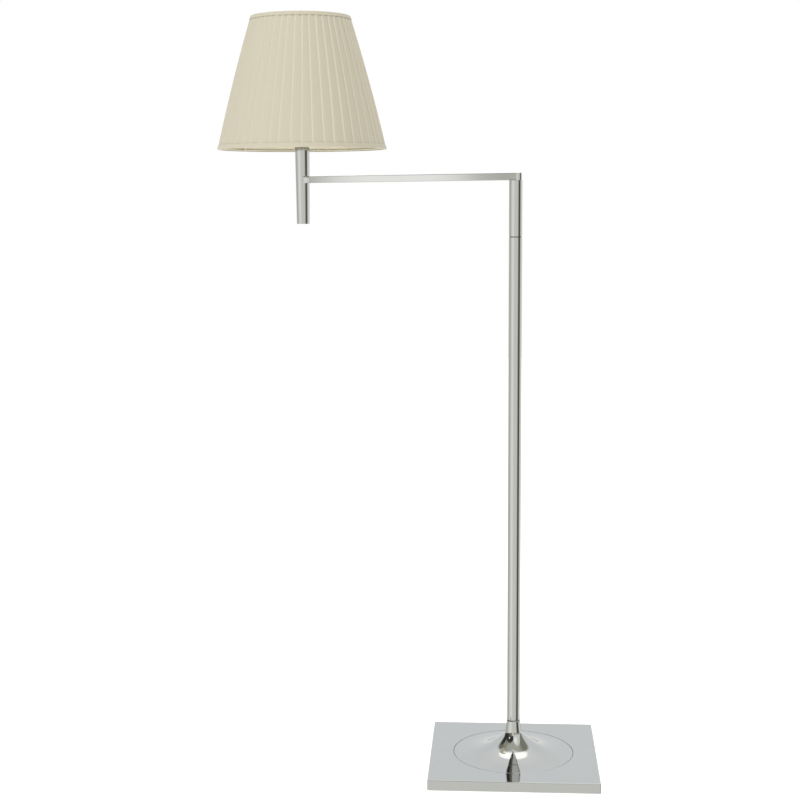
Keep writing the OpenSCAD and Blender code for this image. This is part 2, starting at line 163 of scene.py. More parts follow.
def cloth(name, base, pitch=0.0004, slub=0.5, sheen=0.12, rough=0.62, height=0.00004, painted_fold_highlight=None):
    """Fine plain weave with slubs, on a UV map in metres: u across, v along the threads."""
    m, nt, bsdf = new_material(name)
    uv = add(nt, "ShaderNodeUVMap", uv_map="cloth").outputs[0]
    sep = add(nt, "ShaderNodeSeparateXYZ", {"Vector": uv})
    u, v = sep.outputs[0], sep.outputs[1]
    su = math_node(nt, "SINE", math_node(nt, "MULTIPLY", u, math.pi / pitch))
    sv = math_node(nt, "SINE", math_node(nt, "MULTIPLY", v, math.pi / (pitch * 0.85)))
    au = math_node(nt, "ABSOLUTE", su)
    av = math_node(nt, "ABSOLUTE", sv)
    over = math_node(nt, "GREATER_THAN", math_node(nt, "MULTIPLY", su, sv), 0.0)
    weave = math_node(nt, "ADD", math_node(nt, "MULTIPLY", au, over), math_node(nt, "MULTIPLY", av, math_node(nt, "SUBTRACT", 1.0, over)))
    warp = noise(nt, add(nt, "ShaderNodeMapping", {"Vector": uv, "Scale": (2600.0, 60.0, 1.0)}).outputs[0], 1.0, 3.0, 0.6)
    weft = noise(nt, add(nt, "ShaderNodeMapping", {"Vector": uv, "Scale": (45.0, 2400.0, 1.0)}).outputs[0], 1.0, 3.0, 0.6)
    slubs = math_node(nt, "ADD", math_node(nt, "MULTIPLY", warp, 0.5), math_node(nt, "MULTIPLY", weft, 0.5))
    broad = noise(nt, uv, 22.0, 3.0, 0.5)
    col = mix_color(nt, map_range(nt, slubs, 0.34, 0.66, 0, 1), rgb(base, 1 - 0.05 * slub), rgb(base, 1 + 0.05 * slub))
    col = mix_color(nt, map_range(nt, broad, 0.3, 0.7, 0, 0.5), col, rgb((base[0] * 0.985, base[1] * 0.975, base[2] * 0.95)))
    # painted shade: the colour is darker in the gaps between the threads of the weave
    shade = math_node(nt, "MULTIPLY_ADD", weave, 0.06, 0.955)
    col = mix_color(nt, 1.0, col, add(nt, "ShaderNodeCombineColor", {"Red": shade, "Green": shade, "Blue": shade}).outputs[0], "MULTIPLY")
    if painted_fold_highlight:
        # painted highlight: the colour is a little lighter along the pressed folds, where they catch the light
        line = add(nt, "ShaderNodeAttribute", attribute_name="painted_fold_highlight").outputs["Fac"]
        col = mix_color(nt, math_node(nt, "MULTIPLY", line, map_range(nt, slubs, 0.3, 0.7, 0.8, 1.0)), col, rgb(base, painted_fold_highlight))
    nt.links.new(col, bsdf.inputs["Base Color"])
    nt.links.new(map_range(nt, slubs, 0.3, 0.7, rough - 0.07, rough + 0.07), bsdf.inputs["Roughness"])
    h = math_node(nt, "ADD", math_node(nt, "MULTIPLY", weave, 0.6), math_node(nt, "MULTIPLY", slubs, slub))
    b = add(nt, "ShaderNodeBump", {"Height": h, "Strength": 0.35, "Distance": height})
    nt.links.new(b.outputs[0], bsdf.inputs["Normal"])
    bsdf.inputs["Sheen Weight"].default_value = sheen
    bsdf.inputs["Sheen Roughness"].default_value = 0.35
    bsdf.inputs["Sheen Tint"].default_value = (1.0, 0.98, 0.93, 1.0)
    bsdf.inputs["Specular IOR Level"].default_value = 0.3
    return m


FAB = (0.486, 0.455, 0.368)
M = {
    "chromed_steel": chrome(),
    "zinc_steel": finish_mat("zinc", (0.55, 0.56, 0.57), 0.34, 1.0, 0.08, 0.08, 900, 60, 0.25, 0.00003, dirt=((0.40, 0.41, 0.42), 0.4)),
    "brass": finish_mat("brass", (0.70, 0.54, 0.26), 0.30, 1.0, 0.08, 0.07, 1100, 70, 0.22, 0.00002, dirt=((0.38, 0.28, 0.13), 0.45)),
    "pad_rubber": finish_mat("pad_rubber", (0.045, 0.045, 0.047), 0.78, 0, 0.15, 0.08, 1400, 60, 0.5, 0.00008),
    "cast_iron": finish_mat("cast_iron", (0.055, 0.057, 0.06), 0.62, 0, 0.2, 0.1, 500, 45, 0.7, 0.00025, dirt=((0.10, 0.075, 0.06), 0.4)),
    "grommet_rubber": finish_mat("grommet_rubber", (0.035, 0.035, 0.036), 0.6, 0, 0.12, 0.08, 1600, 90, 0.35, 0.00005),
    "terminal_plastic": finish_mat("terminal_plastic", (0.74, 0.72, 0.66), 0.48, 0, 0.04, 0.06, 900, 80, 0.3, 0.00004),
    "joint_ring": finish_mat("joint_ring", (0.24, 0.235, 0.22), 0.5, 0, 0.15, 0.08, 1500, 120, 0.3, 0.00003),
    "joint_washer": finish_mat("joint_washer", (0.055, 0.055, 0.055), 0.5, 0, 0.15, 0.08, 1500, 120, 0.3, 0.00003),
    "lead_insulation": finish_mat("lead_insulation", (0.62, 0.62, 0.60), 0.36, 0, 0.05, 0.06, 800, 50, 0.2, 0.00004),
    "holder_plastic": finish_mat("holder_plastic", (0.80, 0.78, 0.73), 0.38, 0, 0.03, 0.06, 1000, 60, 0.25, 0.00003, Coat_Weight=0.1),
    "porcelain": finish_mat("porcelain", (0.82, 0.81, 0.77), 0.16, 0, 0.03, 0.05, 500, 40, 0.15, 0.00003, Coat_Weight=0.5),
    "bulb_metal": finish_mat("bulb_metal", (0.66, 0.66, 0.65), 0.28, 1.0, 0.05, 0.06, 1200, 80, 0.2, 0.00002),
    "opal_glass": finish_mat("opal_glass", (0.86, 0.85, 0.81), 0.14, 0, 0.015, 0.04, 700, 25, 0.05, 0.00001,
                             Subsurface_Weight=0.25, Subsurface_Scale=0.004, Coat_Weight=0.3),
    "frame_wire": finish_mat("frame_wire", (0.64, 0.61, 0.51), 0.34, 0, 0.04, 0.07, 1300, 70, 0.35, 0.00004, Coat_Weight=0.2),
    "lining": cloth("lining", (0.77, 0.735, 0.60), 0.00022, 0.35, 0.10, 0.45, 0.00002),
    # the last value lightens the fold edges, a painted highlight along each fold
    "pleated_fabric": cloth("pleated_fabric", FAB, 0.00038, 0.5, 0.12, 0.6, 0.00004, 1.085),
    "trim_fabric": cloth("trim_fabric", (FAB[0] * 1.01, FAB[1] * 1.01, FAB[2] * 1.02), 0.00038, 0.5, 0.12, 0.6, 0.00004),
}


# ---------------------------------------------------------------- mesh helpers
def make(name, verts, faces, slot, uvs=None, sharp=None):
    me = bpy.data.meshes.new(name)
    me.from_pydata([tuple(v) for v in verts], [], faces)
    me.validate()
    if uvs is not None:
        layer = me.uv_layers.new(name="cloth")
        layer.data.foreach_set("uv", np.array([uvs[l.vertex_index] for l in me.loops], np.float32).ravel())
    me.shade_smooth()
    if sharp:
        me.set_sharp_from_angle(angle=math.radians(sharp))
    me.materials.append(M[slot])
    ob = bpy.data.objects.new(name, me)
    bpy.context.scene.collection.objects.link(ob)
    return ob


def declare(ob, body, slot, *nodes):
    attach(ob, body)
    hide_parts(*nodes)
    return ob


def lathe(name, prof, slot, centre=(0, 0), n=192, closed=True, sharp=30, uv_scale=True):
    """Turns the profile, points (r, z) in metres, around a vertical axis. A closed profile gives a closed skin."""
    cx, cy = centre
    verts, ring = [], []
    for r, z in prof:
        if r < 1e-7:
            ring.append([len(verts)] * n)
            verts.append((cx, cy, z))
        else:
            ring.append(list(range(len(verts), len(verts) + n)))
            for k in range(n):
                a = 2 * math.pi * k / n
                verts.append((cx + r * math.cos(a), cy + r * math.sin(a), z))
    faces = []
    m = len(prof)
    for i in range(m if closed else m - 1):
        a, b = ring[i], ring[(i + 1) % m]
        for k in range(n):
            q = [a[k], a[(k + 1) % n], b[(k + 1) % n], b[k]]
            f = []
            for x in q:
                if x not in f:
                    f.append(x)
            if len(f) > 2:
                faces.append(f)
    return make(name, verts, faces, slot, None, sharp)


def lathe_cloth(name, prof, slot, centre, n=240, sharp=None):
    """A closed cloth band, turned, with its UV map in metres: u round the rim, v along the profile."""
    cx, cy = centre
    P = [Vector(p) for p in prof]
    length = [0.0]
    for i in range(1, len(P) + 1):
        length.append(length[-1] + (P[i % len(P)] - P[i - 1]).length)
    verts = []
    for r, z in prof:
        for k in range(n):
            a = 2 * math.pi * k / n
            verts.append((cx + r * math.cos(a), cy + r * math.sin(a), z))
    faces, uv = [], []
    m = len(prof)
    rm = sum(r for r, z in prof) / m
    for i in range(m):
        j = (i + 1) % m
        for k in range(n):
            k2 = (k + 1) % n
            faces.append([i * n + k, i * n + k2, j * n + k2, j * n + k])
            for kk, vv in ((k, length[i]), (k + 1, length[i]), (k + 1, length[i + 1]), (k, length[i + 1])):
                uv.append((2 * math.pi * rm * kk / n, vv))
    me = bpy.data.meshes.new(name)
    me.from_pydata(verts, [], faces)
    layer = me.uv_layers.new(name="cloth")
    layer.data.foreach_set("uv", np.array(uv, np.float32).ravel())
    me.shade_smooth()
    if sharp:
        me.set_sharp_from_angle(angle=math.radians(sharp))
    me.materials.append(M[slot])
    ob = bpy.data.objects.new(name, me)
    bpy.context.scene.collection.objects.link(ob)
    return ob


def spline(P, n):
    """A natural cubic spline through the points, by chord length, n samples to a span."""
    P = np.array(P, float)
    t = np.concatenate([[0], np.cumsum(np.linalg.norm(np.diff(P, axis=0), axis=1))])
    N = len(P)
    h = np.diff(t)
    A = np.zeros((N, N))
    B = np.zeros((N, P.shape[1]))
    A[0, 0] = A[-1, -1] = 1
    for i in range(1, N - 1):
        A[i, i - 1], A[i, i], A[i, i + 1] = h[i - 1], 2 * (h[i - 1] + h[i]), h[i]
        B[i] = 6 * ((P[i + 1] - P[i]) / h[i] - (P[i] - P[i - 1]) / h[i - 1])
    Mx = np.linalg.solve(A, B)
    out = []
    for i in range(N - 1):
        for k in range(n):
            x = t[i] + h[i] * k / n
            a, b = (t[i + 1] - x) / h[i], (x - t[i]) / h[i]
            out.append(a * P[i] + b * P[i + 1] + ((a ** 3 - a) * Mx[i] + (b ** 3 - b) * Mx[i + 1]) * h[i] ** 2 / 6)
    out.append(P[-1])
    return [tuple(p) for p in out]


def smooth(P, n):
    """The spline through the points, then evened out so that no span rings between its ends."""
    S = np.array(spline(P, n))
    for _ in range(6):
        S[1:-1] = 0.25 * S[:-2] + 0.5 * S[1:-1] + 0.25 * S[2:]
    return [tuple(p) for p in S]


# ---------------------------------------------------------------- CAD nodes that stay, with their materials
slots = {s["node"]: s["material_slot"] for s in frame["record"]["subparts"]}
for name, ob in NODES.items():
    ob.data.materials.clear()
    ob.data.materials.append(M[slots[name]])
    for p in ob.data.polygons:
        p.material_index = 0

# ---------------------------------------------------------------- hub, turned in one piece with the disc
blo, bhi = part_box("hub_disc")
H_TOP, DISC_R = bhi.z, bhi.x
BASE_H = 0.018
HUB = [(107.6, 0), (99, 0.25), (90, 0.75), (82, 1.6), (75, 2.7), (68, 4.2), (62, 5.85), (57, 7.5), (52, 9.55), (48, 11.4), (44, 13.6),
       (40.5, 15.8), (37, 18.2), (31, 22.6), (26, 26.4), (21.5, 30), (18.6, 32.5), (17, 34.1), (16, 35.4), (15.3, 37), (14.7, 39.4),
       (14.2, 42.4), (13.7, 46), (13.2, 50.4), (12.75, 54.9), (12.3, 59.5)]
neck = [(r * MM, BASE_H + z * MM) for r, z in smooth(HUB, 7)]
NECK_R = HUB[-1][0] * MM
prof = [(DISC_R, blo.z), (DISC_R, BASE_H - 0.0005)]
prof += [(DISC_R - 0.0004 + 0.0004 * math.cos(t), BASE_H - 0.0005 + 0.0005 * math.sin(t)) for t in [math.pi / 8 * k for k in range(1, 4)]]
prof += neck[:-1]
prof += [(NECK_R, H_TOP - 0.0003), (NECK_R - 0.0003, H_TOP), (0.0052, H_TOP), (0.0052, H_TOP - 0.008)]
inner = []
for i in range(1, len(neck) - 1):
    a, b = Vector(neck[i - 1]), Vector(neck[i + 1])
    t = (b - a).normalized()
    n = Vector((-t.y, t.x))
    if n.y > 0:
        n = -n
    p = Vector(neck[i]) + 0.003 * n
    if p.x < 0.056 and p.y < H_TOP - 0.009:
        inner.append(p)
prof += [(inner[-1].x, H_TOP - 0.008)] + [(p.x, p.y) for p in reversed(inner)] + [(inner[0].x, blo.z)]
hub = declare(lathe("hub_turned", prof, "chromed_steel", (0, 0), 256, True, 35), "base", "chromed_steel", "hub_disc")

# ---------------------------------------------------------------- flared foot between the arm and the stem
alo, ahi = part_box("arm_bar")
slo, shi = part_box("stem_tube")
AZ = (alo.z + ahi.z) / 2
S2 = (ahi.z - alo.z) / 2
SAD = ARM_L - 0.0213
R0, R1 = 0.0125, 0.01475


def stem_r(z):
    return R0 + (R1 - R0) * (z - slo.z) / (shi.z - slo.z)


def saddle():
    ring = []
    corner = []
    # outline of a square with small rounded corners, as unit half width and half height
    side, rc = 7, 0.14
    for q in range(4):
        a0 = math.pi / 2 * q
        for k in range(5):
            a = a0 + math.pi / 2 * k / 4
            corner.append((math.cos(a) * rc + (1 - rc) * (1 if q in (0, 3) else -1), math.sin(a) * rc + (1 - rc) * (1 if q < 2 else -1)))
        nx = math.pi / 2 * (q + 1)
        e = (math.cos(nx) * rc + (1 - rc) * (1 if (q + 1) % 4 in (0, 3) else -1), math.sin(nx) * rc + (1 - rc) * (1 if (q + 1) % 4 < 2 else -1))
        s = corner[-1]
        for k in range(1, side):
            corner.append((s[0] + (e[0] - s[0]) * k / side, s[1] + (e[1] - s[1]) * k / side))
    n, rows = len(corner), 22
    verts = []
    for i in range(rows + 1):
        for cy, cz in corner:
            x_end = SAD + 0.0135
            for _ in range(12):
                t = (x_end - SAD) / 0.0155
                y = cy * (S2 + 0.0054 * t * t)
                tz = min((x_end - SAD) / 0.0125, 1.1)
                z = AZ + cz * (S2 + 0.0017 * tz * tz)
                x_end = ARM_L - math.sqrt(max(stem_r(z) ** 2 - y * y, 1e-8)) + 0.0001
            x = SAD + (x_end - SAD) * i / rows
            t = (x - SAD) / 0.0155
            tz = min((x - SAD) / 0.0125, 1.1)
            verts.append((x, cy * (S2 + 0.0054 * t * t), AZ + cz * (S2 + 0.0017 * tz * tz)))
    faces = [[i * n + k, i * n + (k + 1) % n, (i + 1) * n + (k + 1) % n, (i + 1) * n + k] for i in range(rows) for k in range(n)]
    faces.append(list(reversed(range(n))))
    faces.append(list(range(rows * n, (rows + 1) * n)))
    ca, sa = math.cos(ARM_A), math.sin(ARM_A)
    verts = [(x * ca - y * sa, x * sa + y * ca, z) for x, y, z in verts]
    return make("saddle_flared", verts, faces, "chromed_steel", None, 28)


declare(saddle(), "arm", "chromed_steel", "arm_saddle")

# ---------------------------------------------------------------- shade
tlo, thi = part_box("shade_bottom_trim")
Z0 = tlo.z
Z1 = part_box("shade_top_trim")[1].z
RB, RT, BOW = 0.1635, 0.0958, 0.0024


def sr(z):
    u = (z - Z0) / (Z1 - Z0)
    return RB + (RT - RB) * u + BOW * 4 * u * (1 - u)


CAM = Vector((-0.02217, -2.66908, 1.02076))
FACE = math.atan2(CAM.y - STEM.y, CAM.x - STEM.x)
PLEATS = 48
PITCH = 2 * math.pi / PLEATS


def pleated_cloth():
    rows = 28
    zs = [Z0 + 0.0012 + (Z1 - Z0 - 0.0024) * i / rows for i in range(rows + 1)]
    jit = [rnd.uniform(-1, 1) for _ in range(PLEATS)]
    lean = [rnd.uniform(-1, 1) for _ in range(PLEATS)]
    bend = [rnd.uniform(-1, 1) for _ in range(PLEATS)]
    lift = [rnd.uniform(-1, 1) for _ in range(PLEATS)]
    wave = [rnd.uniform(0, 2 * math.pi) for _ in range(PLEATS)]

    def fold(k, u):
        kk = k % PLEATS
        turn = PITCH * k - math.radians(0.5)
        s = 1.5 * (1 - u) ** 1.4 + 0.28 * jit[kk] + 0.35 * lean[kk] * (1 - u) + 0.30 * bend[kk] * math.sin(math.pi * u)
        return turn + math.radians(s)

    verts, uvs, painted_fold_highlight = [], [], []
    per = None
    for i, z in enumerate(zs):
        u = i / rows
        r = sr(z)
        under = 0.0060 + (0.01035 - 0.0060) * u
        v_len = u * 0.2576
        # the trims press the folds flat
        press = 1 - 0.15 * max(0.0, min(1.0, 1 - (z - Z0 - 0.0085) / 0.009), min(1.0, 1 - (Z1 - 0.007 - z) / 0.009))
        for k in range(PLEATS):
            a0, a1 = fold(k, u), fold(k + 1, u)
            w = (a1 - a0) * r
            un = min(under, 0.80 * w)
            g = 1 + 0.16 * lift[k] * math.sin(math.pi * u + 0.7 * wave[k])
            roll = min(0.0027, 0.22 * w) * (1 + 0.12 * bend[k] * math.sin(math.pi * u + wave[k]))
            top, edge, low = 0.00052, 0.00052 + 0.00110 * g, 0.00206
            xp = w - roll

            def face(x):
                """Depth of the visible face: it rises slowly from under the last fold, then rolls over and down to its own fold."""
                if x < xp:
                    q = max(0.0, x) / xp
                    return low - (low - top) * (1.18 * q - 0.18 * q ** 6)
                q = (x - xp) / roll
                return top + (edge - top) * q ** 1.4

            pts = [(xp * q, face(xp * q)) for q in (0.0, 0.1, 0.25, 0.45, 0.65, 0.8, 0.9, 0.97)]
            pts += [(xp + roll * q, face(xp + roll * q)) for q in (0.08, 0.22, 0.38, 0.55, 0.72, 0.88)]
            # the fold's round edge
            c, rr = edge + 0.00021, 0.00021
            for t in (70, 35, 0, -35, -75):
                pts.append((w - 0.00016 + rr * math.cos(math.radians(t)), c - rr * math.sin(math.radians(t))))
            # middle layer, back under the face to the inner fold
            for q in (0.08, 0.2, 0.34, 0.5, 0.75, 1.0):
                x = w - 0.0004 - (un - 0.0004) * q
                pts.append((x, max(0.00140, face(x) + 0.00047)))
            mid = pts[-1][1]
            for t in (120, 180, 240):
                pts.append((w - un + 0.00008 * math.cos(math.radians(t)), mid + 0.00003 - 0.00003 * math.sin(math.radians(t))))
            # inner layer, on to where the next pleat starts
            for q in (0.1, 0.35, 0.6, 0.8, 0.93):
                x = w - un * (1 - q)
                pts.append((x, max(0.00147 + (low - 0.00147) * q ** 3, face(x) + 0.00054)))
            cum = 0.0
            prev = None
            for x, d in pts:
                if prev is not None:
                    cum += math.hypot(x - prev[0], d - prev[1])
                prev = (x, d)
                a = FACE - a0 - x / r
                rad = r - 0.00056 - (d - 0.00056) * press
                verts.append((STEM.x + rad * math.cos(a), STEM.y + rad * math.sin(a), z))
                uvs.append((0.0332 * k + cum, v_len))
                # painted highlight mask: 1 on the fold's rolled edge and beyond, 0 on the flat face
                painted_fold_highlight.append(max(0.0, min(1.0, (x - xp + 0.0004) / 0.0009)))
            per = len(pts)
    n = per * PLEATS
    faces = [[i * n + (k + 1) % n, i * n + k, (i + 1) * n + k, (i + 1) * n + (k + 1) % n] for i in range(rows) for k in range(n)]
    me = bpy.data.meshes.new("shade_pleats")
    me.from_pydata(verts, [], faces)
    layer = me.uv_layers.new(name="cloth")
    data = []
    for f in faces:
        for j, vi in enumerate(f):
            uu, vv = uvs[vi]
            if f[0] % n == 0 and j in (0, 3):
                uu += 0.0332 * PLEATS
            data.append((uu, vv))
    layer.data.foreach_set("uv", np.array(data, np.float32).ravel())
    # the painted fold highlight mask, read by the fabric's material
    me.attributes.new("painted_fold_highlight", "FLOAT", "POINT").data.foreach_set("value", np.array(painted_fold_highlight, np.float32))
    me.shade_smooth()
    me.materials.append(M["pleated_fabric"])
    ob = bpy.data.objects.new("shade_pleats", me)
    bpy.context.scene.collection.objects.link(ob)
    mod = ob.modifiers.new("thickness", "SOLIDIFY")
    mod.thickness = 0.00022
    mod.offset = -1.0
    bpy.context.view_layer.update()
    deps = bpy.context.evaluated_depsgraph_get()
    new = bpy.data.meshes.new_from_object(ob.evaluated_get(deps))
    ob.modifiers.clear()
    ob.data = new
    return ob


pleats = declare(pleated_cloth(), "arm", "pleated_fabric", "shade_fabric")


def shell_profile(za, zb, da, db, n):
    z = [za + (zb - za) * i / n for i in range(n + 1)]
    return [(sr(x) - da, x) for x in z] + [(sr(x) - db, x) for x in reversed(z)]


lining = declare(lathe_cloth("shade_lining_cloth", shell_profile(Z0 + 0.0011, Z1 - 0.0011, 0.00285, 0.00325, 36), "lining", STEM[:2], 240),
                 "arm", "lining", "shade_lining")


def band(name, zr, height, up, lip, node):
    """A cloth strip folded over a rim: its outside, the turned edge and the lip under it."""
    s = 1 if up else -1
    out = []
    for i in range(13):
        q = i / 12
        z = zr + s * (height * (1 - q) + 0.0009 * q)
        puff = 0.00010 * math.sin(math.pi * min(1, q * 1.15)) ** 0.8 if q < 0.87 else 0.0
        # the free edge is thin and lies down on the pleats
        edge = 0.00030 * max(0.0, 1 - q / 0.3) ** 1.2
        out.append((sr(z) + puff - edge, z))
    r0 = sr(zr)
    for t in (20, 45, 70, 90):
        a = math.radians(t)
        out.append((r0 - 0.0009 + 0.0009 * math.cos(a), zr + s * (0.0009 - 0.0009 * math.sin(a))))
    for q in (0.25, 0.5, 0.75, 0.95):
        out.append((r0 - 0.0009 - (lip - 0.0009) * q, zr + s * 0.00005 * math.sin(q * 9)))
    out.append((r0 - lip, zr + s * 0.0002))
    out.append((r0 - lip, zr + s * 0.0005))
    for q in (0.9, 0.6, 0.3):
        out.append((r0 - 0.0014 - (lip - 0.0014) * q, zr + s * 0.00062))
    for t in (80, 45, 10):
        a = math.radians(t)
        out.append((r0 - 0.0014 + 0.0009 * math.cos(a), zr + s * (0.0015 - 0.0009 * math.sin(a))))
    for i in range(1, 10):
        q = i / 9
        z = zr + s * (0.0015 * (1 - q) + height * q)
        out.append((sr(z) - 0.00046, z))
    if not up:
        out = out[::-1]
    return declare(lathe_cloth(name, out, "trim_fabric", STEM[:2], 288, 50), "arm", "trim_fabric", node)


trim_low = band("shade_trim_low", Z0, 0.0085, True, 0.007, "shade_bottom_trim")
trim_top = band("shade_trim_top", Z1, 0.0070, False, 0.007, "shade_top_trim")

# ---------------------------------------------------------------- bulb
glo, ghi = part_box("bulb_glass")
GLASS = [(12.6, 0), (13.4, 6), (15.8, 14), (20.2, 24), (25.2, 34), (28.6, 43), (30, 52), (29.2, 61), (26.2, 69.5), (21, 76.6), (14, 81.6), (7, 84), (0, 84.6)]
g = [(max(r, 0) * MM, glo.z + z * MM) for r, z in spline(GLASS, 5)]
g[-1] = (0.0, g[-1][1])
gi = []
for i in range(0, len(g) - 1):
    a, b = Vector(g[max(i - 1, 0)]), Vector(g[i + 1])
    t = (b - a).normalized()
    gi.append((max(g[i][0] - 0.001 * t.y, 0.0002), g[i][1] + 0.001 * t.x))
glass = g + [(0.0, g[-1][1] - 0.001)] + gi[::-1]
glass[-1] = (gi[0][0], g[0][1])
declare(lathe("bulb_envelope", glass, "opal_glass", STEM[:2], 128, True, 60), "arm", "opal_glass", "bulb_glass")


def bulb_cap():
    """The bulb's screw cap, with its thread as a helix."""
    clo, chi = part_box("bulb_base")
    za, zb = clo.z + 0.0055, chi.z
    n, rows, pitch = 96, 84, 0.0036
    verts = []
    for i in range(rows + 1):
        z = za + (zb - za) * i / rows
        ends = min(1.0, (z - za) / 0.0022, (zb - z) / 0.003)
        for k in range(n):
            a = 2 * math.pi * k / n
            wv = 0.5 + 0.5 * math.cos(2 * math.pi * (z / pitch) - a)
            r = 0.0122 + 0.0008 * max(0.0, ends) * wv
            verts.append((STEM.x + r * math.cos(a), STEM.y + r * math.sin(a), z))
    faces = [[i * n + k, i * n + (k + 1) % n, (i + 1) * n + (k + 1) % n, (i + 1) * n + k] for i in range(rows) for k in range(n)]
    # lower end: insulator cone and centre contact
    rings = [(0.0116, clo.z + 0.005), (0.0046, clo.z + 0.0016), (0.0043, clo.z + 0.0006), (0.0030, clo.z + 0.0001)]
    prev = list(range(n))
    for r, z in rings:
        cur = list(range(len(verts), len(verts) + n))
        for k in range(n):
            a = 2 * math.pi * k / n
            verts.append((STEM.x + r * math.cos(a), STEM.y + r * math.sin(a), z))
        faces += [[prev[(k + 1) % n], prev[k], cur[k], cur[(k + 1) % n]] for k in range(n)]
        prev = cur
    verts.append((STEM.x, STEM.y, clo.z))
    faces += [[prev[(k + 1) % n], prev[k], len(verts) - 1] for k in range(n)]
    # upper end: turned in over the glass
    prev = list(range(rows * n, (rows + 1) * n))
    for r, z in ((0.0119, zb + 0.0001), (0.0110, zb), (0.0110, zb - 0.012)):
        cur = list(range(len(verts), len(verts) + n))
        for k in range(n):
            a = 2 * math.pi * k / n
            verts.append((STEM.x + r * math.cos(a), STEM.y + r * math.sin(a), z))
        faces += [[prev[k], prev[(k + 1) % n], cur[(k + 1) % n], cur[k]] for k in range(n)]
        prev = cur
    verts.append((STEM.x, STEM.y, zb - 0.012))
    faces += [[prev[k], prev[(k + 1) % n], len(verts) - 1] for k in range(n)]
    return make("bulb_screw_cap", verts, faces, "bulb_metal", None, 40)


declare(bulb_cap(), "arm", "bulb_metal", "bulb_base")

# ---------------------------------------------------------------- floor
bpy.ops.mesh.primitive_plane_add(size=14.0, location=(0, 0, -0.0003))
floor = bpy.context.object
floor.name = "floor"
fm, fnt, fb = new_material("floor_white")
fco = add(fnt, "ShaderNodeTexCoord").outputs["Object"]
fnt.links.new(mix_color(fnt, noise(fnt, fco, 3.0, 3.0, 0.5), (0.92, 0.92, 0.915, 1), (0.95, 0.95, 0.945, 1)), fb.inputs["Base Color"])
fb.inputs["Roughness"].default_value = 0.7
fb.inputs["Specular IOR Level"].default_value = 0.0
fb.inputs["Emission Color"].default_value = (1, 1, 1, 1)
fb.inputs["Emission Strength"].default_value = 0.5
floor.data.materials.append(fm)
floor.visible_glossy = False


